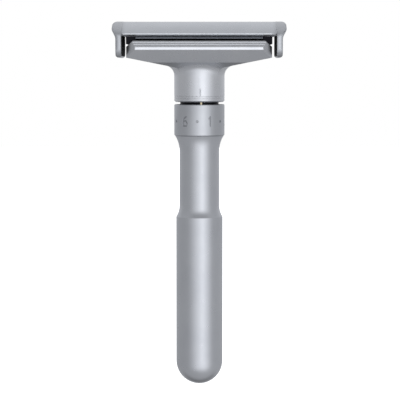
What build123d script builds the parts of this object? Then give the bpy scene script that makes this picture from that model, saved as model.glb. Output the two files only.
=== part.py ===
from build123d import *

import os
from math import atan2, cos, degrees, hypot, radians, sin, sqrt, tan

# Adjustable double-edge safety razor, about 108 mm long.
#
# The origin is the lowest point of the domed handle end. +Z runs up the handle to the head,
# X runs along the blade, and -Y is the front. Turning the handle drives a thread that raises
# the blade bed, the blade and the cap between the two guard bars. All sizes are millimetres.

os.makedirs("parts", exist_ok=True)

# ---------------------------------------------------------------- handle, from the tip up
GRIP_R = 6.9
GRIP_TOP = 50.2
WAIST_R = 5.9
WAIST_BOTTOM = 53.6
WAIST_TOP = 69.8
SHOULDER_R = 7.2
SHOULDER_TOP = 74.3
SPIGOT_R = 6.8
SPIGOT_TOP = 77.4
EDGE_BREAK = 0.2
BORE_BOTTOM = 16.0
DRILL_POINT_DEG = 30.0

# ---------------------------------------------------------------- numbered dial ring
RING_R = 7.45
RING_TOP = 83.6
RING_CHAMFER = 0.28
RING_POCKET_TOP = 78.6
MARK_Z = 78.7
MARK_DEPTH = 0.2
DIGIT_H = 2.7
DIGIT_W = 1.5
DIGIT_STROKE = 0.4
DOT_R = 0.4
FIRST_DOT_DEG = -4.6
SETTINGS = 6
SETTING_STEP = 360 / SETTINGS

# ---------------------------------------------------------------- neck and guard head
NECK_R = 7.45
NECK_BOTTOM = 84.3
NECK_FILLET = 3.0
NECK_CHAMFER = 0.42
NECK_LINES = (85.35, 85.95)
NECK_LINE_DEPTH = 0.06
NECK_LINE_W = 0.22
INDEX_DEG = 2.5
INDEX_W = 0.26
INDEX_SPAN = (86.2, 88.3)
GUARD_L = 42.3
GUARD_W = 25.9
GUARD_CORNER = 2.7
GUARD_END_CUT_X = 2.0
GUARD_END_CUT_Z = 1.7
CREST_Z = 102.15
CREST_Y = 11.85
CREST_ROUND = 0.25
GUARD_EDGE_Z = (99.56, 100.26)
GUARD_EDGE_LEAN = 0.12
TROUGH_INNER_Z = 100.9
GUARD_GROOVE_Z = (101.0, 101.6)
GUARD_GROOVE_W = 0.3
GUARD_GROOVE_DEPTH = 0.16
HULL_SIDE_Y = 9.3
HULL_SIDE_Z = 95.9
HULL_BOTTOM_Z = 92.9
HULL_BOTTOM_Y = 4.2
RIDGE_SLOPE = 11.4
RIDGE_END_Z = 97.3
RECESS_HALF_L = 18.9
RECESS_HALF_W = 9.95
RECESS_FLOOR = 98.3

# ---------------------------------------------------------------- bearing between head and handle
RUN = 0.05
SLEEVE_R = 5.7
SLEEVE_BOTTOM = 75.75
SLEEVE_TOP = 91.2
CHAMBER_R = 4.4
CHAMBER_BOTTOM = 82.8
CHAMBER_TOP = 94.2
CLIP_GROOVE_R = 5.1
CLIP_Z = (77.65, 78.35)
CLIP_OUTER_R = 6.55
CLIP_GAP = 2.4
CLIP_OPEN_Y = 2.5
ORING_Z = 80.8
ORING_WIRE_R = 0.42
ORING_GROOVE_R = 4.85
ORING_GROOVE_W = 1.0
ORING_PLAY = 0.01
STOP_R = 6.45
STOP_PIN_R = 0.35
STOP_PIN_BOTTOM = 81.8
STOP_PIN_TOP = 85.4
STOP_DEG = 5.0
STOP_SLOT_TOP = 85.6
STOP_SLOT_GAP = 0.08
TURN_DEG = 330.0

# ---------------------------------------------------------------- lift thread and spindle
SHAFT_R = 2.7
COLLAR_R = 4.2
COLLAR_Z = (83.0, 84.2)
SHAFT_BOTTOM = 63.0
THREAD_TOP = 76.0
THREAD_PITCH = 1.25
THREAD_DEPTH = 0.25
NUT_R = 4.6
NUT_FLANGE_R = 5.4
NUT_Z = (62.0, 74.0, 75.0)
WASHER_R = 5.55
WASHER_BORE_R = 3.1
WASHER_TOP = 75.6

# ---------------------------------------------------------------- return spring
SEAT_T = 0.4
COIL_R = 3.55
COIL_WIRE_R = 0.38
COIL_TURNS = 5.5

# ---------------------------------------------------------------- blade and the crowned bed
BLADE_L = 43.0
BLADE_W = 22.0
BLADE_T = 0.1
CROWN_R = 22.0
CROWN_Z = 105.55
FILM = 0.08
BLADE_CORNER_L = 3.0
BLADE_CORNER_W = 4.0
BLADE_HOLE_R = 2.15
BLADE_CENTRE_HOLE_R = 2.7
BLADE_SLOT_W = 1.8
BLADE_SLOT_L = 36.4
STUD_X = 13.2
BED_HALF_L = 18.6
BED_END_HALF_L = 21.3
BED_END_HALF_W = 8.6
BED_END_BOTTOM = 101.25
BED_HALF_W = 9.6
BED_FOOT_HALF_W = 7.8
BED_FOOT_Z = 100.8
BED_EDGE_T = 0.5
BED_BOTTOM = 98.5
BED_POCKET_X = (5.4, 15.8)
BED_POCKET_HALF_W = 6.2
COVER_HALF_L = 17.9
COVER_HALF_W = 7.0
SCREW_R = 0.6
SCREW_HEAD_R = 1.0
SCREW_HEAD_T = 0.4
SCREW_TOP = 101.6
STUD_HOLE_R = 2.05
CLIP_WIRE_R = 0.35
CLIP_LEG_Y = 2.38
CLIP_LEG_X = (10.9, 15.5)
SPINDLE_SCREW_R = 1.2
SPINDLE_SCREW_HEAD_R = 2.3
SPINDLE_SCREW_Z = (97.0, 103.4, 104.5)
BED_POCKET_TOP = 100.2
COVER_T = 0.8
COVER_SCREW_X = 16.9
COVER_SCREW_Y = 5.0
GUIDE_X = 7.0
GUIDE_R = 0.8
GUIDE_Z = (96.2, 101.2)
SPINDLE_TOP = 101.5

# ---------------------------------------------------------------- cap
CAP_TOP = 108.0
CROWN_TOP = 107.95
CAP_HALF_W = 9.85
CAP_LIP_Z = (103.98, 104.35)
CAP_SEAT_HALF_W = 9.2
FLARE_X = (21.1, 23.0)
FLARE_HALF_W = 10.4
WALL_INNER_X = 22.5
WALL_OUTER_X = 24.25
WALL_BOTTOM = 97.3
WALL_LIP_X = 25.4
WALL_LIP_BOTTOM = 105.3
WALL_WAIST_Z = 103.2
WALL_HALF_W = 11.2
WALL_CORNER_R = 3.0
WALL_EDGE_R = 0.8
WALL_TOP_R = 1.4
WALL_LIP_R = 1.0
WALL_WAIST_R = 2.5
WALL_SHOULDER_R = 2.0
WALL_PLAN_R = 2.2
STUD_R = 1.95
STUD_TOP = 106.6
STUD_BOTTOM = 98.7
STUD_GROOVE_Z = 99.65


def up(z):
    """Horizontal plane at height z."""
    return Plane.XY.offset(z)


def ring_plane(angle):
    """Plane tangent to a cylinder round Z, at an angle counted from the front (-Y)."""
    turn = radians(angle)
    outward = Vector(sin(turn), -cos(turn), 0)
    sideways = Vector(cos(turn), sin(turn), 0)
    return Plane(origin=(0, 0, 0), x_dir=sideways, z_dir=outward)


def crown_z(y, radius):
    """Height at y of a cylinder round the blade's bending axis."""
    return CROWN_Z - CROWN_R + sqrt(radius ** 2 - y ** 2)


def flare_radius(rise, spread):
    """Radius of an arc that leaves a cylinder along its axis and spreads outward over rise."""
    return (rise ** 2 + spread ** 2) / (2 * spread)


def save(builder, label):
    """Label the finished piece and write it."""
    builder.part.label = label
    export_step(builder.part, "parts/" + label + ".step")


# ================================================================ handle body
with BuildPart() as handle_grip:
    with BuildSketch(Plane.XZ):
        with BuildLine():
            RadiusArc((0, 0), (GRIP_R, GRIP_R), -GRIP_R)
            Line((GRIP_R, GRIP_R), (GRIP_R, GRIP_TOP))
            RadiusArc(
                (GRIP_R, GRIP_TOP),
                (WAIST_R, WAIST_BOTTOM),
                flare_radius(WAIST_BOTTOM - GRIP_TOP, GRIP_R - WAIST_R),
            )
            Line((WAIST_R, WAIST_BOTTOM), (WAIST_R, WAIST_TOP))
            RadiusArc(
                (WAIST_R, WAIST_TOP),
                (SHOULDER_R, SHOULDER_TOP),
                flare_radius(SHOULDER_TOP - WAIST_TOP, SHOULDER_R - WAIST_R),
            )
            Polyline(
                (SHOULDER_R, SHOULDER_TOP),
                (SPIGOT_R, SHOULDER_TOP),
                (SPIGOT_R, SPIGOT_TOP),
                (SLEEVE_R + RUN, SPIGOT_TOP),
                (SLEEVE_R + RUN, NUT_Z[2]),
                (NUT_FLANGE_R, NUT_Z[2]),
                (NUT_FLANGE_R, NUT_Z[1]),
                (NUT_R, NUT_Z[1]),
                (NUT_R, BORE_BOTTOM),
                (0, BORE_BOTTOM - NUT_R * tan(radians(DRILL_POINT_DEG))),
                (0, 0),
            )
        make_face()
    revolve(axis=Axis.Z)
save(handle_grip, "handle_grip")

# Pen strokes of the digits, in half widths and half heights from the digit's centre.
DIGIT_STROKES = {
    1: [(-0.4, 0.6), (0.1, 1.0), (0.1, -1.0)],
    2: [(-1.0, 0.6), (-0.5, 1.0), (0.6, 1.0), (1.0, 0.4), (-1.0, -1.0), (1.0, -1.0)],
    3: [(-1.0, 1.0), (0.9, 1.0), (0.0, 0.15), (0.9, 0.0), (0.9, -0.7), (0.3, -1.0), (-1.0, -0.8)],
    4: [(0.4, -1.0), (0.4, 1.0), (-1.0, -0.4), (1.0, -0.4)],
    5: [(0.9, 1.0), (-0.8, 1.0), (-0.8, 0.2), (0.6, 0.15), (1.0, -0.4), (0.5, -1.0), (-1.0, -0.9)],
    6: [(0.6, 1.0), (-0.5, 0.5), (-1.0, -0.3), (-0.7, -1.0), (0.7, -1.0), (1.0, -0.4), (0.5, 0.1), (-0.8, 0)],
}


def digit_strokes(digit):
    """Add one digit to the open sketch as a chain of round-ended strokes."""
    points = [(x * DIGIT_W / 2, MARK_Z + y * DIGIT_H / 2) for x, y in DIGIT_STROKES[digit]]
    for start, end in zip(points, points[1:]):
        run, rise = end[0] - start[0], end[1] - start[1]
        with Locations(((start[0] + end[0]) / 2, (start[1] + end[1]) / 2)):
            SlotCenterToCenter(hypot(run, rise), DIGIT_STROKE, rotation=degrees(atan2(rise, run)))


with BuildPart() as dial_ring:
    with BuildSketch(Plane.XZ):
        with BuildLine():
            Polyline(
                (SPIGOT_R, SHOULDER_TOP),
                (RING_R - RING_CHAMFER, SHOULDER_TOP),
                (RING_R, SHOULDER_TOP + RING_CHAMFER),
                (RING_R, RING_TOP - EDGE_BREAK),
                (RING_R - EDGE_BREAK, RING_TOP),
                (SLEEVE_R + RUN, RING_TOP),
                (SLEEVE_R + RUN, RING_POCKET_TOP),
                (SPIGOT_R, RING_POCKET_TOP),
                close=True,
            )
        make_face()
    revolve(axis=Axis.Z)
    with Locations(ring_plane(STOP_DEG).location * Location((0, RING_TOP, STOP_R))):
        Cylinder(
            STOP_PIN_R,
            RING_TOP - STOP_PIN_BOTTOM,
            rotation=(90, 0, 0),
            align=(Align.CENTER, Align.CENTER, Align.MIN),
            mode=Mode.SUBTRACT,
        )
    for setting in range(SETTINGS):
        dot_angle = FIRST_DOT_DEG + setting * SETTING_STEP
        with BuildSketch(ring_plane(dot_angle).offset(RING_R - MARK_DEPTH)):
            with Locations((0, MARK_Z)):
                Circle(DOT_R)
        extrude(amount=2 * MARK_DEPTH, mode=Mode.SUBTRACT)
        digit_angle = dot_angle + SETTING_STEP / 2
        with BuildSketch(ring_plane(digit_angle).offset(RING_R - MARK_DEPTH)):
            digit_strokes(setting + 1)
        extrude(amount=2 * MARK_DEPTH, mode=Mode.SUBTRACT)
save(dial_ring, "dial_ring")

with BuildPart() as lift_nut:
    with BuildSketch(Plane.XZ):
        with BuildLine():
            Polyline(
                (SHAFT_R + RUN, NUT_Z[0]),
                (NUT_R, NUT_Z[0]),
                (NUT_R, NUT_Z[1]),
                (NUT_FLANGE_R, NUT_Z[1]),
                (NUT_FLANGE_R, NUT_Z[2]),
                (SHAFT_R + RUN, NUT_Z[2]),
                close=True,
            )
        make_face()
    revolve(axis=Axis.Z)
save(lift_nut, "lift_nut")

with BuildPart() as thrust_washer:
    with BuildSketch(up(NUT_Z[2])):
        Circle(WASHER_R)
        Circle(WASHER_BORE_R, mode=Mode.SUBTRACT)
    extrude(amount=WASHER_TOP - NUT_Z[2])
save(thrust_washer, "thrust_washer")

with BuildPart() as stop_pin:
    with BuildSketch(up(STOP_PIN_BOTTOM)):
        with Locations((STOP_R * sin(radians(STOP_DEG)), -STOP_R * cos(radians(STOP_DEG)))):
            Circle(STOP_PIN_R)
    extrude(amount=STOP_PIN_TOP - STOP_PIN_BOTTOM)
save(stop_pin, "stop_pin")

# ================================================================ head body
with BuildPart() as guard_head:
    # Side profile, the same at every X: grooved bars, troughs and the sloping underside.
    with BuildSketch(Plane.YZ):
        with BuildLine():
            Polyline(
                (0, HULL_BOTTOM_Z),
                (HULL_BOTTOM_Y, HULL_BOTTOM_Z),
                (HULL_SIDE_Y, HULL_SIDE_Z),
                (GUARD_W / 2 - GUARD_EDGE_LEAN, GUARD_EDGE_Z[0]),
                (GUARD_W / 2, GUARD_EDGE_Z[1]),
                (CREST_Y + CREST_ROUND, CREST_Z - CREST_ROUND / 2),
                (CREST_Y, CREST_Z),
                (RECESS_HALF_W, TROUGH_INNER_Z),
                (0, TROUGH_INNER_Z),
            )
            mirror(about=Plane.YZ)
        make_face()
    extrude(amount=GUARD_L / 2, both=True)
    # Front silhouette: the underside climbs from the neck to the ends.
    with BuildSketch(Plane.XZ):
        with BuildLine():
            ridge_drop = GUARD_L / 2 * tan(radians(RIDGE_SLOPE))
            Polyline(
                (0, RIDGE_END_Z - ridge_drop),
                (GUARD_L / 2, RIDGE_END_Z),
                (GUARD_L / 2, CREST_Z - GUARD_END_CUT_Z),
                (GUARD_L / 2 - GUARD_END_CUT_X, CREST_Z),
                (0, CREST_Z),
            )
            mirror(about=Plane.YZ)
        make_face()
    extrude(amount=GUARD_W, both=True, mode=Mode.INTERSECT)
    # Plan outline with its cut corners.
    with BuildSketch(up(NECK_BOTTOM)):
        Rectangle(GUARD_L, GUARD_W)
        chamfer(vertices(), GUARD_CORNER)
    extrude(amount=CREST_Z - NECK_BOTTOM, mode=Mode.INTERSECT)
    # Neck, blended into the underside.
    with BuildSketch(up(NECK_BOTTOM)):
        Circle(NECK_R)
    extrude(amount=TROUGH_INNER_Z - NECK_BOTTOM)
    fillet(edges().filter_by(GeomType.ELLIPSE), NECK_FILLET)
    chamfer(edges().group_by(Axis.Z)[0], NECK_CHAMFER)
    # Recess for the bed, and the stepped bore below it.
    with BuildSketch(up(RECESS_FLOOR)):
        Rectangle(2 * RECESS_HALF_L, 2 * RECESS_HALF_W)
    extrude(amount=CREST_Z - RECESS_FLOOR, mode=Mode.SUBTRACT)
    for bore_radius, bore_start, bore_end in (
        (SLEEVE_R, NECK_BOTTOM, SLEEVE_TOP),
        (CHAMBER_R, SLEEVE_TOP, CHAMBER_TOP),
        (SHAFT_R + RUN, CHAMBER_TOP, RECESS_FLOOR),
    ):
        with BuildSketch(up(bore_start)):
            Circle(bore_radius)
        extrude(amount=bore_end - bore_start, mode=Mode.SUBTRACT)
    # Seats of the guide pins.
    with BuildSketch(up(GUIDE_Z[0])):
        with Locations((-GUIDE_X, 0), (GUIDE_X, 0)):
            Circle(GUIDE_R)
    extrude(amount=RECESS_FLOOR - GUIDE_Z[0], mode=Mode.SUBTRACT)
    # Arc slot that the stop pin travels in.
    pin_half_deg = degrees((STOP_PIN_R + STOP_SLOT_GAP) / STOP_R)
    slot_start = STOP_DEG + pin_half_deg - 90
    slot_end = STOP_DEG - TURN_DEG - pin_half_deg - 90
    slot_inner = SLEEVE_R
    slot_outer = STOP_R + STOP_PIN_R + STOP_SLOT_GAP
    with BuildSketch(up(NECK_BOTTOM)):
        with BuildLine():
            outer_arc = CenterArc((0, 0), slot_outer, slot_start, slot_end - slot_start)
            inner_arc = CenterArc((0, 0), slot_inner, slot_start, slot_end - slot_start)
            Line(outer_arc @ 0, inner_arc @ 0)
            Line(outer_arc @ 1, inner_arc @ 1)
        make_face()
    extrude(amount=STOP_SLOT_TOP - NECK_BOTTOM, mode=Mode.SUBTRACT)
    # Turned lines round the neck and the index line of the dial.
    with BuildSketch(Plane.XZ):
        for line_z in NECK_LINES:
            with Locations((NECK_R, line_z)):
                Rectangle(2 * NECK_LINE_DEPTH, NECK_LINE_W)
    revolve(axis=Axis.Z, mode=Mode.SUBTRACT)
    with BuildSketch(ring_plane(INDEX_DEG).offset(NECK_R - MARK_DEPTH)):
        with Locations((0, (INDEX_SPAN[0] + INDEX_SPAN[1]) / 2)):
            SlotOverall(INDEX_SPAN[1] - INDEX_SPAN[0], INDEX_W, rotation=90)
    extrude(amount=2 * MARK_DEPTH, mode=Mode.SUBTRACT)
    # Fine grooves along both leaning guard faces.
    face_lean = (GUARD_W / 2 - CREST_Y - CREST_ROUND) / (CREST_Z - CREST_ROUND / 2 - GUARD_EDGE_Z[1])
    with BuildSketch(Plane.YZ):
        for groove_z in GUARD_GROOVE_Z:
            groove_y = GUARD_W / 2 - face_lean * (groove_z - GUARD_EDGE_Z[1])
            with Locations((groove_y, groove_z), (-groove_y, groove_z)):
                Rectangle(2 * GUARD_GROOVE_DEPTH, GUARD_GROOVE_W)
    extrude(amount=GUARD_L / 2, both=True, mode=Mode.SUBTRACT)
save(guard_head, "guard_head")

with BuildPart() as bearing_sleeve:
    with BuildSketch(Plane.XZ):
        with BuildLine():
            Polyline(
                (SHAFT_R + RUN, SLEEVE_BOTTOM),
                (SLEEVE_R, SLEEVE_BOTTOM),
                (SLEEVE_R, SLEEVE_TOP),
                (CHAMBER_R, SLEEVE_TOP),
                (CHAMBER_R, CHAMBER_BOTTOM),
                (SHAFT_R + RUN, CHAMBER_BOTTOM),
                close=True,
            )
        make_face()
        clip_mid = (CLIP_Z[0] + CLIP_Z[1]) / 2
        clip_height = CLIP_Z[1] - CLIP_Z[0] + 2 * RUN
        with Locations((SLEEVE_R, clip_mid)):
            Rectangle(2 * (SLEEVE_R - CLIP_GROOVE_R), clip_height, mode=Mode.SUBTRACT)
        with Locations((SLEEVE_R, ORING_Z)):
            Rectangle(2 * (SLEEVE_R - ORING_GROOVE_R), ORING_GROOVE_W, mode=Mode.SUBTRACT)
    revolve(axis=Axis.Z)
save(bearing_sleeve, "bearing_sleeve")

with BuildPart() as retaining_ring:
    with BuildSketch(up(CLIP_Z[0])):
        Circle(CLIP_OUTER_R)
        Circle(CLIP_GROOVE_R + RUN, mode=Mode.SUBTRACT)
        with Locations((0, CLIP_OPEN_Y)):
            Rectangle(
                CLIP_GAP,
                CLIP_OUTER_R,
                align=(Align.CENTER, Align.MIN),
                mode=Mode.SUBTRACT,
            )
    extrude(amount=CLIP_Z[1] - CLIP_Z[0])
save(retaining_ring, "retaining_ring")

with BuildPart() as friction_ring:
    with BuildSketch(Plane.XZ):
        with Locations((ORING_GROOVE_R + ORING_WIRE_R + ORING_PLAY, ORING_Z)):
            Circle(ORING_WIRE_R)
    revolve(axis=Axis.Z)
save(friction_ring, "friction_ring")

with BuildPart() as guide_pins:
    with BuildSketch(up(GUIDE_Z[0])):
        with Locations((-GUIDE_X, 0), (GUIDE_X, 0)):
            Circle(GUIDE_R)
    extrude(amount=GUIDE_Z[1] - GUIDE_Z[0])
    chamfer(edges().group_by(Axis.Z)[-1], EDGE_BREAK)
save(guide_pins, "guide_pins")

with BuildPart() as spring_seat:
    with BuildSketch(up(CHAMBER_TOP - SEAT_T)):
        Circle(CHAMBER_R - RUN)
        Circle(SHAFT_R + 2 * RUN, mode=Mode.SUBTRACT)
    extrude(amount=SEAT_T)
save(spring_seat, "spring_seat")

with BuildPart() as return_spring:
    coil_bottom = COLLAR_Z[1] + COIL_WIRE_R + RUN
    coil_height = CHAMBER_TOP - SEAT_T - COIL_WIRE_R - RUN - coil_bottom
    with BuildLine():
        coil = Helix(coil_height / COIL_TURNS, coil_height, COIL_R, center=(0, 0, coil_bottom))
    with BuildSketch(Plane(origin=coil @ 0, z_dir=coil % 0)):
        Circle(COIL_WIRE_R)
    sweep(path=coil, is_frenet=True)
save(return_spring, "return_spring")

# ================================================================ carriage body
with BuildPart() as lift_spindle:
    with BuildSketch(Plane.XZ):
        with BuildLine():
            Polyline(
                (0, SHAFT_BOTTOM),
                (SHAFT_R - 2 * EDGE_BREAK, SHAFT_BOTTOM),
                (SHAFT_R, SHAFT_BOTTOM + 2 * EDGE_BREAK),
                (SHAFT_R, COLLAR_Z[0]),
                (COLLAR_R, COLLAR_Z[0]),
                (COLLAR_R, COLLAR_Z[1]),
                (SHAFT_R, COLLAR_Z[1]),
                (SHAFT_R, SPINDLE_TOP),
                (SPINDLE_SCREW_R, SPINDLE_TOP),
                (SPINDLE_SCREW_R, SPINDLE_SCREW_Z[0] - EDGE_BREAK),
                (0, SPINDLE_SCREW_Z[0] - EDGE_BREAK - SPINDLE_SCREW_R / 2),
                close=True,
            )
        make_face()
        thread_turns = int((THREAD_TOP - SHAFT_BOTTOM) / THREAD_PITCH)
        for turn in range(1, thread_turns):
            with Locations((SHAFT_R, SHAFT_BOTTOM + turn * THREAD_PITCH)):
                Rectangle(2 * THREAD_DEPTH, THREAD_PITCH / 2, mode=Mode.SUBTRACT)
    revolve(axis=Axis.Z)
save(lift_spindle, "lift_spindle")

with BuildPart() as blade_bed:
    bed_crown_r = CROWN_R - BLADE_T - FILM
    bed_shoulder_z = crown_z(BED_HALF_W, bed_crown_r)
    with BuildSketch(Plane.YZ):
        with BuildLine():
            ThreePointArc(
                (-BED_HALF_W, bed_shoulder_z),
                (0, crown_z(0, bed_crown_r)),
                (BED_HALF_W, bed_shoulder_z),
            )
            Polyline(
                (BED_HALF_W, bed_shoulder_z),
                (BED_HALF_W, bed_shoulder_z - BED_EDGE_T),
                (BED_FOOT_HALF_W, BED_FOOT_Z),
                (BED_FOOT_HALF_W, BED_BOTTOM),
                (-BED_FOOT_HALF_W, BED_BOTTOM),
                (-BED_FOOT_HALF_W, BED_FOOT_Z),
                (-BED_HALF_W, bed_shoulder_z - BED_EDGE_T),
                (-BED_HALF_W, bed_shoulder_z),
            )
        make_face()
    extrude(amount=BED_HALF_L, both=True)
    # Thin ends that carry the blade's tabs over the ends of the head.
    with BuildSketch(Plane.YZ):
        with BuildLine():
            end_shoulder_z = crown_z(BED_END_HALF_W, bed_crown_r)
            ThreePointArc(
                (-BED_END_HALF_W, end_shoulder_z),
                (0, crown_z(0, bed_crown_r)),
                (BED_END_HALF_W, end_shoulder_z),
            )
            Polyline(
                (BED_END_HALF_W, end_shoulder_z),
                (BED_END_HALF_W, BED_END_BOTTOM),
                (-BED_END_HALF_W, BED_END_BOTTOM),
                (-BED_END_HALF_W, end_shoulder_z),
            )
        make_face()
    extrude(amount=BED_END_HALF_L, both=True)
    with BuildSketch(up(BED_BOTTOM)):
        Rectangle(2 * COVER_HALF_L, 2 * COVER_HALF_W)
    extrude(amount=COVER_T, mode=Mode.SUBTRACT)
    pocket_mid = (BED_POCKET_X[0] + BED_POCKET_X[1]) / 2
    with BuildSketch(up(BED_BOTTOM)):
        with Locations((-pocket_mid, 0), (pocket_mid, 0)):
            Rectangle(BED_POCKET_X[1] - BED_POCKET_X[0], 2 * BED_POCKET_HALF_W)
    extrude(amount=BED_POCKET_TOP - BED_BOTTOM, mode=Mode.SUBTRACT)
    with BuildSketch(up(BED_BOTTOM)):
        with Locations((-STUD_X, 0), (STUD_X, 0)):
            Circle(STUD_HOLE_R)
        Circle(SPINDLE_SCREW_R + RUN)
    extrude(amount=CAP_TOP - BED_BOTTOM, mode=Mode.SUBTRACT)
    with BuildSketch(up(BED_BOTTOM)):
        with Locations((-GUIDE_X, 0), (GUIDE_X, 0)):
            Circle(GUIDE_R + 2 * RUN)
    extrude(amount=GUIDE_Z[1] + EDGE_BREAK - BED_BOTTOM, mode=Mode.SUBTRACT)
    with BuildSketch(up(BED_BOTTOM)):
        Circle(SHAFT_R)
    extrude(amount=SPINDLE_TOP - BED_BOTTOM, mode=Mode.SUBTRACT)
    with BuildSketch(up(BED_BOTTOM)):
        with GridLocations(2 * COVER_SCREW_X, 2 * COVER_SCREW_Y, 2, 2):
            Circle(SCREW_R)
    extrude(amount=SCREW_TOP - BED_BOTTOM, mode=Mode.SUBTRACT)
    with BuildSketch(Plane.XZ):
        with BuildLine():
            Polyline(
                (0, SPINDLE_SCREW_Z[1]),
                (SPINDLE_SCREW_R, SPINDLE_SCREW_Z[1]),
                (SPINDLE_SCREW_HEAD_R, SPINDLE_SCREW_Z[2]),
                (SPINDLE_SCREW_HEAD_R, CAP_TOP),
                (0, CAP_TOP),
                close=True,
            )
        make_face()
    revolve(axis=Axis.Z, mode=Mode.SUBTRACT)
save(blade_bed, "blade_bed")

with BuildPart() as bed_cover:
    with BuildSketch(up(BED_BOTTOM)):
        Rectangle(2 * COVER_HALF_L, 2 * COVER_HALF_W)
        Circle(SHAFT_R, mode=Mode.SUBTRACT)
        with Locations((-GUIDE_X, 0), (GUIDE_X, 0)):
            Circle(GUIDE_R + RUN, mode=Mode.SUBTRACT)
        with Locations((-STUD_X, 0), (STUD_X, 0)):
            Circle(STUD_HOLE_R, mode=Mode.SUBTRACT)
        with GridLocations(2 * COVER_SCREW_X, 2 * COVER_SCREW_Y, 2, 2):
            Circle(SCREW_R, mode=Mode.SUBTRACT)
    extrude(amount=COVER_T)
    with BuildSketch(up(BED_BOTTOM)):
        with GridLocations(2 * COVER_SCREW_X, 2 * COVER_SCREW_Y, 2, 2):
            Circle(SCREW_HEAD_R)
    extrude(amount=SCREW_HEAD_T, mode=Mode.SUBTRACT)
save(bed_cover, "bed_cover")

with BuildPart() as cover_screws:
    with BuildSketch(up(BED_BOTTOM)):
        with GridLocations(2 * COVER_SCREW_X, 2 * COVER_SCREW_Y, 2, 2):
            Circle(SCREW_HEAD_R)
            Rectangle(2 * SCREW_HEAD_R, SCREW_R / 2, mode=Mode.SUBTRACT)
    extrude(amount=SCREW_HEAD_T)
    with BuildSketch(up(BED_BOTTOM + SCREW_HEAD_T / 2)):
        with GridLocations(2 * COVER_SCREW_X, 2 * COVER_SCREW_Y, 2, 2):
            Circle(SCREW_R)
    extrude(amount=SCREW_TOP - BED_BOTTOM - SCREW_HEAD_T)
save(cover_screws, "cover_screws")

with BuildPart() as spindle_screw:
    with BuildSketch(Plane.XZ):
        with BuildLine():
            Polyline(
                (0, SPINDLE_SCREW_Z[0]),
                (SPINDLE_SCREW_R, SPINDLE_SCREW_Z[0]),
                (SPINDLE_SCREW_R, SPINDLE_SCREW_Z[1]),
                (SPINDLE_SCREW_HEAD_R, SPINDLE_SCREW_Z[2]),
                (0, SPINDLE_SCREW_Z[2]),
                close=True,
            )
        make_face()
    revolve(axis=Axis.Z)
    with BuildSketch(up(SPINDLE_SCREW_Z[2])):
        Rectangle(2 * SPINDLE_SCREW_HEAD_R, SPINDLE_SCREW_R / 2)
    extrude(amount=-SPINDLE_SCREW_R / 2, mode=Mode.SUBTRACT)
save(spindle_screw, "spindle_screw")

with BuildPart() as clip_springs:
    clip_z = BED_BOTTOM + COVER_T + CLIP_WIRE_R + RUN
    with BuildLine(up(clip_z)):
        inner_leg = Line((CLIP_LEG_X[1], CLIP_LEG_Y), (CLIP_LEG_X[0], CLIP_LEG_Y))
        RadiusArc((CLIP_LEG_X[0], CLIP_LEG_Y), (CLIP_LEG_X[0], -CLIP_LEG_Y), -CLIP_LEG_Y)
        Line((CLIP_LEG_X[0], -CLIP_LEG_Y), (CLIP_LEG_X[1], -CLIP_LEG_Y))
    with BuildSketch(Plane(origin=inner_leg @ 0, z_dir=inner_leg % 0)):
        Circle(CLIP_WIRE_R)
    sweep()
    mirror(about=Plane.YZ)
save(clip_springs, "clip_springs")

# ================================================================ blade body
with BuildPart() as razor_blade:
    with BuildSketch(Plane.YZ):
        with BuildLine():
            edge_turn = BLADE_W / 2 / CROWN_R
            for radius in (CROWN_R, CROWN_R - BLADE_T):
                CenterArc(
                    (0, CROWN_Z - CROWN_R),
                    radius,
                    90 - degrees(edge_turn),
                    2 * degrees(edge_turn),
                )
            for side in (-1, 1):
                Line(
                    (side * CROWN_R * sin(edge_turn), crown_z(CROWN_R * sin(edge_turn), CROWN_R)),
                    (
                        side * (CROWN_R - BLADE_T) * sin(edge_turn),
                        crown_z((CROWN_R - BLADE_T) * sin(edge_turn), CROWN_R - BLADE_T),
                    ),
                )
        make_face()
    extrude(amount=BLADE_L / 2, both=True)
    with BuildSketch(up(BED_BOTTOM)):
        with GridLocations(BLADE_L, BLADE_W, 2, 2):
            Rectangle(2 * BLADE_CORNER_L, BLADE_CORNER_W)
        Rectangle(BLADE_SLOT_L, BLADE_SLOT_W)
        Circle(BLADE_CENTRE_HOLE_R)
        with Locations((-STUD_X, 0), (STUD_X, 0)):
            Circle(BLADE_HOLE_R)
    extrude(amount=CAP_TOP - BED_BOTTOM, mode=Mode.SUBTRACT)
save(razor_blade, "razor_blade")

# ================================================================ cap body
cap_under_r = CROWN_R + FILM
seat_edge_z = crown_z(CAP_SEAT_HALF_W, cap_under_r)
lip_undercut = CAP_HALF_W - CAP_SEAT_HALF_W


def crown_section(x, half_width):
    """Side section of the cap's crown at x, from the lip to the top."""
    with BuildSketch(Plane.YZ.offset(x)) as section:
        with BuildLine():
            ThreePointArc((-half_width, CAP_LIP_Z[1]), (0, CROWN_TOP), (half_width, CAP_LIP_Z[1]))
            Polyline(
                (half_width, CAP_LIP_Z[1]),
                (half_width, CAP_LIP_Z[0]),
                (half_width - lip_undercut, seat_edge_z),
                (lip_undercut - half_width, seat_edge_z),
                (-half_width, CAP_LIP_Z[0]),
                (-half_width, CAP_LIP_Z[1]),
            )
        make_face()
    return section.sketch.face()


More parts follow.
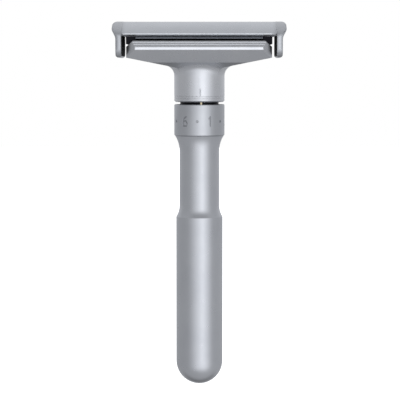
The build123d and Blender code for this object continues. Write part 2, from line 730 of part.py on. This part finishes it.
# One end wall: its front outline with the flared lip, trimmed to its side and plan outlines.
with BuildPart() as end_wall:
    with BuildSketch(Plane.XZ):
        with BuildLine():
            Polyline(
                (WALL_INNER_X, WALL_BOTTOM),
                (WALL_OUTER_X, WALL_BOTTOM),
                (WALL_OUTER_X, WALL_WAIST_Z),
                (WALL_LIP_X, WALL_LIP_BOTTOM),
                (WALL_LIP_X, CAP_TOP),
                (WALL_INNER_X, CAP_TOP),
                close=True,
            )
        make_face()
        fillet(vertices().group_by(Axis.Y)[0], WALL_EDGE_R)
        fillet(vertices().sort_by_distance((WALL_OUTER_X, WALL_WAIST_Z))[0], WALL_WAIST_R)
        fillet(vertices().sort_by_distance((WALL_LIP_X, WALL_LIP_BOTTOM))[0], WALL_LIP_R)
        fillet(vertices().sort_by_distance((WALL_LIP_X, CAP_TOP))[0], WALL_TOP_R)
    extrude(amount=WALL_HALF_W * 2, both=True)
    with BuildSketch(Plane.YZ):
        with BuildLine():
            ThreePointArc((-WALL_HALF_W, CAP_LIP_Z[1]), (0, CAP_TOP), (WALL_HALF_W, CAP_LIP_Z[1]))
            Polyline(
                (WALL_HALF_W, CAP_LIP_Z[1]),
                (WALL_HALF_W, WALL_BOTTOM),
                (-WALL_HALF_W, WALL_BOTTOM),
                (-WALL_HALF_W, CAP_LIP_Z[1]),
            )
        make_face()
        fillet(vertices().group_by(Axis.Y)[0], WALL_CORNER_R)
        fillet(vertices().group_by(Axis.Y)[-1], WALL_SHOULDER_R)
    extrude(amount=WALL_LIP_X * 2, both=True, mode=Mode.INTERSECT)
    with BuildSketch(up(WALL_BOTTOM)):
        Rectangle(2 * WALL_LIP_X, 2 * WALL_HALF_W)
        fillet(vertices(), WALL_PLAN_R)
    extrude(amount=CAP_TOP - WALL_BOTTOM, mode=Mode.INTERSECT)

with BuildPart() as cap:
    extrude(crown_section(0, CAP_HALF_W), amount=FLARE_X[0])
    loft([crown_section(FLARE_X[0], CAP_HALF_W), crown_section(FLARE_X[1], FLARE_HALF_W)])
    add(end_wall.part)
    mirror(about=Plane.YZ)
    # Curved seat for the blade.
    with BuildSketch(Plane.YZ):
        with Locations((0, CROWN_Z - CROWN_R)):
            Circle(cap_under_r)
    extrude(amount=WALL_INNER_X, both=True, mode=Mode.SUBTRACT)
    # Seats of the studs.
    with BuildSketch(up(STUD_TOP)):
        with Locations((-STUD_X, 0), (STUD_X, 0)):
            Circle(STUD_R)
    extrude(amount=BED_BOTTOM - STUD_TOP, mode=Mode.SUBTRACT)
save(cap, "cap")

with BuildPart() as cap_studs:
    with BuildSketch(up(STUD_BOTTOM)):
        with Locations((-STUD_X, 0), (STUD_X, 0)):
            Circle(STUD_R)
    extrude(amount=STUD_TOP - STUD_BOTTOM)
    chamfer(edges().group_by(Axis.Z)[0], 2 * EDGE_BREAK)
    with BuildSketch(up(STUD_GROOVE_Z - CLIP_WIRE_R)):
        with Locations((-STUD_X, 0), (STUD_X, 0)):
            Circle(STUD_R)
            Circle(STUD_R - EDGE_BREAK, mode=Mode.SUBTRACT)
    extrude(amount=2 * CLIP_WIRE_R, mode=Mode.SUBTRACT)
save(cap_studs, "cap_studs")
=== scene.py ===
"""Looks of the adjustable safety razor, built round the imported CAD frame. Units are metres."""
from math import cos, radians, sin

import bpy
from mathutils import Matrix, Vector


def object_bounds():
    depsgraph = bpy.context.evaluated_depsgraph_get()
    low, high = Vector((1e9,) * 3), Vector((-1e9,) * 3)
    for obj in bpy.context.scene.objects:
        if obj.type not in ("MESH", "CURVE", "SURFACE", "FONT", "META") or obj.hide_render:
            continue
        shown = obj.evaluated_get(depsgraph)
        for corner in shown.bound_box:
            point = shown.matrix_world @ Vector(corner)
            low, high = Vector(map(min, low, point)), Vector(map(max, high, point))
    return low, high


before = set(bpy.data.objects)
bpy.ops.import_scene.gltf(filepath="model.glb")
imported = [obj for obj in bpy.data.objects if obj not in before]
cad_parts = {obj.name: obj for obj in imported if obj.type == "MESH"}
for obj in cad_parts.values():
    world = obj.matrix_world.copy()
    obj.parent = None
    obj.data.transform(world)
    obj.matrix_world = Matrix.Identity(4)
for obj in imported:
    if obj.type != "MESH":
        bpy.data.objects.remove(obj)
cad_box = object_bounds()

MM = 0.001
low, high = (Vector(corner) for corner in cad_box)

# ---------------------------------------------------------------- camera
CAMERA_DISTANCE = 500 * MM
CAMERA_PITCH = radians(4.5)
FRAME_WIDTH = 119.2 * MM
AIM_HEIGHT = 55.1 * MM
AIM_SIDE = 0.18 * MM
CAMERA_SIDE = 4.0 * MM
SENSOR = 36.0
CLIP_START = 0.01

# ---------------------------------------------------------------- light
# The room is a dim grey surround: brighter on the right, overhead and behind, darker above
# the front, and darkest under the back of the razor. A pair gives the two values of the
# direction's Y (towards the back) or Z (up) between which a part fades in.
ROOM_LEFT = 0.42
ROOM_RIGHT = 0.48
ROOM_OVERHEAD = 0.09
OVERHEAD_UP = (0.3, 1.0)
ROOM_OVER_FRONT = -0.12
OVER_FRONT_BACK = (-0.2, -0.6)
OVER_FRONT_UP = (0.4, 0.75)
ROOM_BEHIND = 0.20
BEHIND_BACK = (0.2, 1.0)
BEHIND_UP = (-0.2, 0.1)
ROOM_UNDER_BACK = -0.26
UNDER_BACK_BACK = (0.0, 0.5)
UNDER_BACK_UP = (-0.5, -0.85)
# A tall window, brightest a little right of the front, fading slowly to the left.
WINDOW_LEFT = radians(-63)
WINDOW_PEAK = radians(19)
WINDOW_RIGHT = radians(74)
WINDOW_GAIN = 0.68
WINDOW_LOW = (-0.88, -0.45)
WINDOW_HIGH = (0.60, 0.30)
ROOM_TINT = (0.975, 0.99, 1.03)
WHITE = (1.0, 1.0, 1.0, 1.0)
VIEW_TRANSFORM = "Standard"

# ---------------------------------------------------------------- places on the razor
NECK_RADIUS = 7.45 * MM
MARK_DEPTH = 0.2 * MM
END_WALL_INNER = 22.5 * MM
CAP_UNDERSIDE = 103.5 * MM
# Each pair is where a painted shade, a painted highlight or the edge softening begins to change and
# where it has changed.
CAP_TO_END_WALL = (21.2 * MM, 23.2 * MM)
NECK_TO_GUARD = (92.0 * MM, 95.0 * MM)
GUARD_EDGE_BAND = (12.75 * MM, 12.85 * MM)
TO_INSIDE_WALLS = (END_WALL_INNER + 0.15 * MM, END_WALL_INNER + 0.05 * MM)
TO_UNDER_CAP = (CAP_UNDERSIDE + 0.3 * MM, CAP_UNDERSIDE)
TO_CAST_EDGES = (END_WALL_INNER - 1.0 * MM, END_WALL_INNER + 0.3 * MM)

# ---------------------------------------------------------------- finishes and painted light
# Factors of painted shade and painted light on the metal's colour.
MARK_PAINTED_SHADE = 0.7
GUARD_PAINTED_SHADE = 0.84
GUARD_EDGE_PAINTED_HIGHLIGHT = 1.4
END_WALL_PAINTED_SHADE = 0.78
PAINTED_SHADOW_SHADE = 0.02
PAINTED_SHADOW_ROUGHNESS = 0.9
CAST_EDGE_RADIUS = 1.3 * MM
# Sizes of the mottling and of the handling marks, and the part of the noise that counts.
CLOUD_SCALE = 90.0
HANDLING_SCALE = 420.0
NOISE_RANGE = (0.3, 0.7)
# Grain stretched along X, Y and Z.
TURNED = (1, 1, 12)
GROUND = (0.1, 3, 3)

# Sockets of a Mix node, by the type of its data.
MIX_FACTOR = 0
FLOAT_A, FLOAT_B, FLOAT_RESULT = 2, 3, 0
COLOUR_A, COLOUR_B, COLOUR_RESULT = 6, 7, 2


def new_material(name):
    """An empty node material."""
    material = bpy.data.materials.new(name)
    material.use_nodes = True
    material.node_tree.nodes.clear()
    return material


def add_node(material, kind, **values):
    """Add a node to a material or world; keyword names are its properties or input sockets."""
    node = material.node_tree.nodes.new(kind)
    for key, value in values.items():
        if hasattr(node, key):
            setattr(node, key, value)
        else:
            node.inputs[key.replace("_", " ")].default_value = value
    return node


def join(material, source, output, target, socket):
    material.node_tree.links.new(source.outputs[output], target.inputs[socket])


def noise(material, coords, scale, detail, roughness=0.5):
    node = add_node(material, "ShaderNodeTexNoise", Scale=scale, Detail=detail, Roughness=roughness)
    join(material, coords, "Object", node, "Vector")
    return node


def mapped(material, source, output, low_value, high_value, from_min=0.0, from_max=1.0):
    """Map a signal from one range, 0 to 1 unless given, to another without overshoot."""
    node = add_node(material, "ShaderNodeMapRange")
    node.inputs["From Min"].default_value = from_min
    node.inputs["From Max"].default_value = from_max
    node.inputs["To Min"].default_value = low_value
    node.inputs["To Max"].default_value = high_value
    join(material, source, output, node, "Value")
    return node


def faded(owner, source, output, dark_at, bright_at):
    """A signal's soft fade from 0 at one value to 1 at another."""
    node = mapped(owner, source, output, 0.0, 1.0, dark_at, bright_at)
    node.interpolation_type = "SMOOTHSTEP"
    return node


def combined(owner, operation, *signals, peak=None):
    """Chain signals through one arithmetic operation, then scale to a peak if given."""
    total = signals[0]
    for signal in signals[1:]:
        step = add_node(owner, "ShaderNodeMath", operation=operation)
        join(owner, total, 0, step, 0)
        join(owner, signal, 0, step, 1)
        total = step
    if peak is not None:
        step = add_node(owner, "ShaderNodeMath", operation="MULTIPLY")
        join(owner, total, 0, step, 0)
        step.inputs[1].default_value = peak
        total = step
    return total


def metal(
    name, dark, light, rough, grain_scale, grain_height, brushed=None, edge_radius=0.12 * MM
):
    """Metal with mottled colour, uneven gloss, a fine surface grain and softened edges.

    brushed is a stretch of the grain along X, Y and Z; None gives an even blasted grain.
    """
    material = new_material(name)
    coords = add_node(material, "ShaderNodeTexCoord")
    shader = add_node(material, "ShaderNodeBsdfPrincipled", Metallic=1.0)
    output = add_node(material, "ShaderNodeOutputMaterial")
    join(material, shader, "BSDF", output, "Surface")

    stretch = add_node(material, "ShaderNodeMapping")
    stretch.inputs["Scale"].default_value = brushed or (1.0, 1.0, 1.0)
    join(material, coords, "Object", stretch, "Vector")
    grain = add_node(material, "ShaderNodeTexNoise", Scale=grain_scale, Detail=3.0, Roughness=0.6)
    join(material, stretch, "Vector", grain, "Vector")
    cloud = noise(material, coords, CLOUD_SCALE, detail=4.0)
    handling = noise(material, coords, HANDLING_SCALE, detail=3.0, roughness=0.65)

    tone = add_node(material, "ShaderNodeMix", data_type="RGBA")
    tone.inputs[COLOUR_A].default_value = (*dark, 1.0)
    tone.inputs[COLOUR_B].default_value = (*light, 1.0)
    tone_mask = mapped(material, cloud, "Fac", 0.0, 1.0, *NOISE_RANGE)
    join(material, tone_mask, "Result", tone, MIX_FACTOR)
    join(material, tone, COLOUR_RESULT, shader, "Base Color")

    gloss = mapped(material, handling, "Fac", *rough, *NOISE_RANGE)
    join(material, gloss, "Result", shader, "Roughness")

    soft_edge = add_node(material, "ShaderNodeBevel", samples=4, Radius=edge_radius)
    bump = add_node(material, "ShaderNodeBump", Strength=1.0, Distance=grain_height)
    join(material, grain, "Fac", bump, "Height")
    join(material, soft_edge, "Normal", bump, "Normal")
    join(material, bump, "Normal", shader, "Normal")
    return material


def shade_where(material, mask, output, factor):
    """Darken or lighten a material's colour by a factor where a mask is 1."""
    links = material.node_tree.links
    shader = next(n for n in material.node_tree.nodes if n.type == "BSDF_PRINCIPLED")
    colour = shader.inputs["Base Color"].links[0].from_socket
    shaded = add_node(material, "ShaderNodeMix", data_type="RGBA", blend_type="MULTIPLY")
    shaded.inputs[COLOUR_B].default_value = (factor, factor, factor, 1.0)
    join(material, mask, output, shaded, MIX_FACTOR)
    links.new(colour, shaded.inputs[COLOUR_A])
    join(material, shaded, COLOUR_RESULT, shader, "Base Color")


def shade_painted_in_cuts(material, radius, depth, factor):
    """Paint shade into what is cut below a turned surface of this radius round the razor's axis."""
    coords = add_node(material, "ShaderNodeTexCoord")
    flat = add_node(material, "ShaderNodeVectorMath", operation="MULTIPLY")
    flat.inputs[1].default_value = (1.0, 1.0, 0.0)
    join(material, coords, "Object", flat, 0)
    distance = add_node(material, "ShaderNodeVectorMath", operation="LENGTH")
    join(material, flat, "Vector", distance, 0)
    mask = faded(material, distance, "Value", radius - 0.2 * depth, radius - 0.6 * depth)
    shade_where(material, mask, "Result", factor)


def placed(material, axis):
    """How far a point lies from the razor's middle plane along X or Y, or its height along Z."""
    coords = add_node(material, "ShaderNodeTexCoord")
    place = add_node(material, "ShaderNodeSeparateXYZ")
    join(material, coords, "Object", place, "Vector")
    distance = add_node(material, "ShaderNodeMath", operation="ABSOLUTE")
    join(material, place, axis, distance, 0)
    return distance


def painted_shadow_where(material, mask):
    """Paint shadow into the metal as dull black where a mask is 1."""
    shade_where(material, mask, 0, PAINTED_SHADOW_SHADE)
    links = material.node_tree.links
    shader = next(n for n in material.node_tree.nodes if n.type == "BSDF_PRINCIPLED")
    join(material, mapped(material, mask, 0, 1.0, 0.0), "Result", shader, "Metallic")
    dulled = add_node(material, "ShaderNodeMix", data_type="FLOAT")
    join(material, mask, 0, dulled, MIX_FACTOR)
    links.new(shader.inputs["Roughness"].links[0].from_socket, dulled.inputs[FLOAT_A])
    dulled.inputs[FLOAT_B].default_value = PAINTED_SHADOW_ROUGHNESS
    join(material, dulled, FLOAT_RESULT, shader, "Roughness")


def softened_where(material, distance, start, end, radius):
    """Widen the softened edges from their usual radius at one distance to another at the next."""
    bevel = next(n for n in material.node_tree.nodes if n.type == "BEVEL")
    usual = bevel.inputs["Radius"].default_value
    widened = mapped(material, distance, "Value", usual, radius, start, end)
    join(material, widened, "Result", bevel, "Radius")


def soft_solid(name, dark, light, rough, grain_scale, grain_height):
    """Rubber or plain plastic: not metallic, fine mottled surface."""
    material = metal(name, dark, light, rough, grain_scale, grain_height)
    shader = next(n for n in material.node_tree.nodes if n.type == "BSDF_PRINCIPLED")
    shader.inputs["Metallic"].default_value = 0.0
    return material


# The handle, dial, head and cap are one satin chrome in lit and shaded copies: the dial is painted
# darker than the handle as shade, and the head and cap are painted lighter as light.
HANDLE = metal(
    "satin_handle", dark=(0.60, 0.615, 0.645), light=(0.66, 0.675, 0.70),
    rough=(0.27, 0.33), grain_scale=9000.0, grain_height=0.0022 * MM,
)
DIAL = metal(
    "satin_dial_painted_shade", dark=(0.56, 0.575, 0.60), light=(0.62, 0.635, 0.66),
    rough=(0.28, 0.34), grain_scale=9000.0, grain_height=0.0022 * MM,
)
HEAD = metal(
    "satin_head_painted_light", dark=(0.72, 0.735, 0.765), light=(0.79, 0.80, 0.82),
    rough=(0.26, 0.32), grain_scale=9000.0, grain_height=0.0012 * MM, edge_radius=0.22 * MM,
)
CAP = metal(
    "satin_cap_painted_light", dark=(0.71, 0.73, 0.76), light=(0.77, 0.79, 0.815),
    rough=(0.26, 0.32), grain_scale=9000.0, grain_height=0.0012 * MM, edge_radius=0.3 * MM,
)
# Black of the bearing sleeve; on the blade bed, chrome in the real razor, the same black is painted
# shadow for the shade in its gaps.
BLACK_AND_PAINTED_SHADOW = metal(
    "black_sleeve_and_painted_shadow", dark=(0.010, 0.010, 0.012), light=(0.018, 0.018, 0.022),
    rough=(0.34, 0.44), grain_scale=5000.0, grain_height=0.002 * MM,
)
SPRING = metal(
    "spring_steel", dark=(0.40, 0.41, 0.43), light=(0.5, 0.5, 0.52),
    rough=(0.22, 0.3), grain_scale=6000.0, grain_height=0.002 * MM,
)
STEEL = metal(
    "machined_steel", dark=(0.48, 0.49, 0.5), light=(0.56, 0.57, 0.58),
    rough=(0.2, 0.3), grain_scale=3500.0, grain_height=0.002 * MM, brushed=TURNED,
)
BLADE = metal(
    "blade_steel", dark=(0.32, 0.33, 0.35), light=(0.38, 0.39, 0.41),
    rough=(0.1, 0.16), grain_scale=2500.0, grain_height=0.0004 * MM, brushed=GROUND,
)
BRASS = metal(
    "machined_brass", dark=(0.72, 0.62, 0.42), light=(0.82, 0.72, 0.52),
    rough=(0.22, 0.32), grain_scale=3500.0, grain_height=0.002 * MM, brushed=TURNED,
)
RUBBER = soft_solid(
    "seal_rubber", dark=(0.015, 0.015, 0.015), light=(0.03, 0.03, 0.03),
    rough=(0.5, 0.65), grain_scale=4000.0, grain_height=0.004 * MM,
)
POLYMER = soft_solid(
    "bearing_polymer", dark=(0.74, 0.73, 0.69), light=(0.8, 0.79, 0.75),
    rough=(0.4, 0.5), grain_scale=4000.0, grain_height=0.003 * MM,
)

# Painted shade in the engraved marks round the neck, painted shade on the guard with a painted
# highlight on its front edge, and end walls of the cap with painted shade and a rounder shading
# outside, and a painted black shadow inside.
shade_painted_in_cuts(DIAL, NECK_RADIUS, MARK_DEPTH, MARK_PAINTED_SHADE)
# Painted shade: the head's lighter colour is painted light for the brightly lit neck, and above it
# the guard is painted darker again.
shade_where(HEAD, faded(HEAD, placed(HEAD, "Z"), "Value", *NECK_TO_GUARD), "Result", GUARD_PAINTED_SHADE)
# Painted highlight along the guard's front edge.
shade_where(HEAD, faded(HEAD, placed(HEAD, "Y"), "Value", *GUARD_EDGE_BAND), "Result", GUARD_EDGE_PAINTED_HIGHLIGHT)
# Painted shade on the cap's end walls.
shade_where(CAP, faded(CAP, placed(CAP, "X"), "Value", *CAP_TO_END_WALL), "Result", END_WALL_PAINTED_SHADE)
softened_where(CAP, placed(CAP, "X"), *TO_CAST_EDGES, CAST_EDGE_RADIUS)
# Painted shadow: the inner faces of the cap's end walls under the cap are painted dull black.
painted_shadow_where(
    CAP,
    combined(
        CAP,
        "MULTIPLY",
        faded(CAP, placed(CAP, "X"), "Value", *TO_INSIDE_WALLS),
        faded(CAP, placed(CAP, "Z"), "Value", *TO_UNDER_CAP),
    ),
)

NODE_MATERIALS = {
    HANDLE: ("handle_grip",),
    DIAL: ("dial_ring",),
    HEAD: ("guard_head",),
    CAP: ("cap",),
    BLACK_AND_PAINTED_SHADOW: ("bearing_sleeve", "blade_bed"),
    SPRING: ("retaining_ring", "return_spring", "clip_springs"),
    STEEL: (
        "guide_pins",
        "spring_seat",
        "bed_cover",
        "cover_screws",
        "lift_spindle",
        "spindle_screw",
        "cap_studs",
    ),
    BLADE: ("razor_blade",),
    BRASS: ("lift_nut", "stop_pin"),
    RUBBER: ("friction_ring",),
    POLYMER: ("thrust_washer",),
}
for material, node_names in NODE_MATERIALS.items():
    for node_name in node_names:
        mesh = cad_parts[node_name].data
        mesh.materials.clear()
        mesh.materials.append(material)


# ---------------------------------------------------------------- floor
def white_floor():
    """A pale floor just under the handle's tip, even white like a light table."""
    half = 1.5
    gap = 0.3 * MM
    pale = (0.9, 0.9, 0.9, 1.0)
    mesh = bpy.data.meshes.new("floor")
    corners = [(-half, -half), (half, -half), (half, half), (-half, half)]
    mesh.from_pydata([(x, y, low.z - gap) for x, y in corners], [], [(0, 1, 2, 3)])
    floor = bpy.data.objects.new("floor", mesh)
    bpy.context.collection.objects.link(floor)
    material = new_material("floor_white")
    shader = add_node(material, "ShaderNodeBsdfPrincipled", Roughness=0.9)
    shader.inputs["Base Color"].default_value = pale
    shader.inputs["Emission Color"].default_value = WHITE
    shader.inputs["Emission Strength"].default_value = 1.0
    output = add_node(material, "ShaderNodeOutputMaterial")
    join(material, shader, "BSDF", output, "Surface")
    mesh.materials.append(material)
    floor.visible_glossy = False
    floor.visible_shadow = False


white_floor()


# ---------------------------------------------------------------- lights
def softbox(name, azimuth, height, distance, width, tall, power):
    """Area light at an azimuth in degrees from the front towards the right, aimed at the razor."""
    light = bpy.data.lights.new(name, "AREA")
    light.shape = "RECTANGLE"
    light.size = width
    light.size_y = tall
    light.energy = power
    lamp = bpy.data.objects.new(name, light)
    bpy.context.collection.objects.link(lamp)
    turn = radians(azimuth)
    target = Vector((0, 0, (low.z + high.z) / 2))
    lamp.location = Vector((distance * sin(turn), -distance * cos(turn), height))
    lamp.rotation_euler = (target - lamp.location).to_track_quat("-Z", "Y").to_euler()


softbox(
    "key_light", azimuth=15, height=0.05, distance=0.60, width=0.20, tall=0.40, power=0.04
)


def patch(world, direction, back_fade, up_fade, peak):
    """A soft part of the surround, faded in along the direction's Y and Z."""
    return combined(
        world,
        "MULTIPLY",
        faded(world, direction, "Y", *back_fade),
        faded(world, direction, "Z", *up_fade),
        peak=peak,
    )


def room():
    """Grey surround for reflections; the lens sees plain white beyond the floor."""
    world = bpy.data.worlds.new("studio")
    world.use_nodes = True
    world.node_tree.nodes.clear()
    coords = add_node(world, "ShaderNodeTexCoord")
    direction = add_node(world, "ShaderNodeSeparateXYZ")
    join(world, coords, "Generated", direction, "Vector")
    sideways = mapped(world, direction, "X", ROOM_LEFT, ROOM_RIGHT, -1.0, 1.0)
    overhead = mapped(world, direction, "Z", 0.0, ROOM_OVERHEAD, *OVERHEAD_UP)
    behind = patch(world, direction, BEHIND_BACK, BEHIND_UP, ROOM_BEHIND)
    over_front = patch(world, direction, OVER_FRONT_BACK, OVER_FRONT_UP, ROOM_OVER_FRONT)
    under_back = patch(world, direction, UNDER_BACK_BACK, UNDER_BACK_UP, ROOM_UNDER_BACK)
    backward = add_node(world, "ShaderNodeMath", operation="MULTIPLY")
    join(world, direction, "Y", backward, 0)
    backward.inputs[1].default_value = -1.0
    azimuth = add_node(world, "ShaderNodeMath", operation="ARCTAN2")
    join(world, direction, "X", azimuth, 0)
    join(world, backward, "Value", azimuth, 1)
    window = combined(
        world,
        "MULTIPLY",
        faded(world, azimuth, "Value", WINDOW_LEFT, WINDOW_PEAK),
        faded(world, azimuth, "Value", WINDOW_RIGHT, WINDOW_PEAK),
        faded(world, direction, "Z", *WINDOW_LOW),
        faded(world, direction, "Z", *WINDOW_HIGH),
        peak=WINDOW_GAIN,
    )
    level = combined(world, "ADD", sideways, overhead, behind, over_front, under_back, window)
    surround = add_node(world, "ShaderNodeBackground", Color=(*ROOM_TINT, 1.0))
    join(world, level, "Value", surround, "Strength")
    seen = add_node(world, "ShaderNodeBackground", Color=WHITE, Strength=1.0)
    path = add_node(world, "ShaderNodeLightPath")
    choice = add_node(world, "ShaderNodeMixShader")
    join(world, path, "Is Camera Ray", choice, 0)
    join(world, surround, "Background", choice, 1)
    join(world, seen, "Background", choice, 2)
    join(world, choice, "Shader", add_node(world, "ShaderNodeOutputWorld"), "Surface")
    bpy.context.scene.world = world


room()
bpy.context.scene.view_settings.view_transform = VIEW_TRANSFORM

# ---------------------------------------------------------------- camera
camera_data = bpy.data.cameras.new("camera")
camera_data.sensor_width = SENSOR
camera_data.lens = SENSOR * CAMERA_DISTANCE / FRAME_WIDTH
camera_data.clip_start = CLIP_START
camera = bpy.data.objects.new("camera", camera_data)
bpy.context.collection.objects.link(camera)
aim = Vector((AIM_SIDE, 0, AIM_HEIGHT))
offset = Vector(
    (CAMERA_SIDE, -CAMERA_DISTANCE * cos(CAMERA_PITCH), CAMERA_DISTANCE * sin(CAMERA_PITCH))
)
camera.location = aim + offset
camera.rotation_euler = (-offset).to_track_quat("-Z", "Y").to_euler()
bpy.context.scene.camera = camera
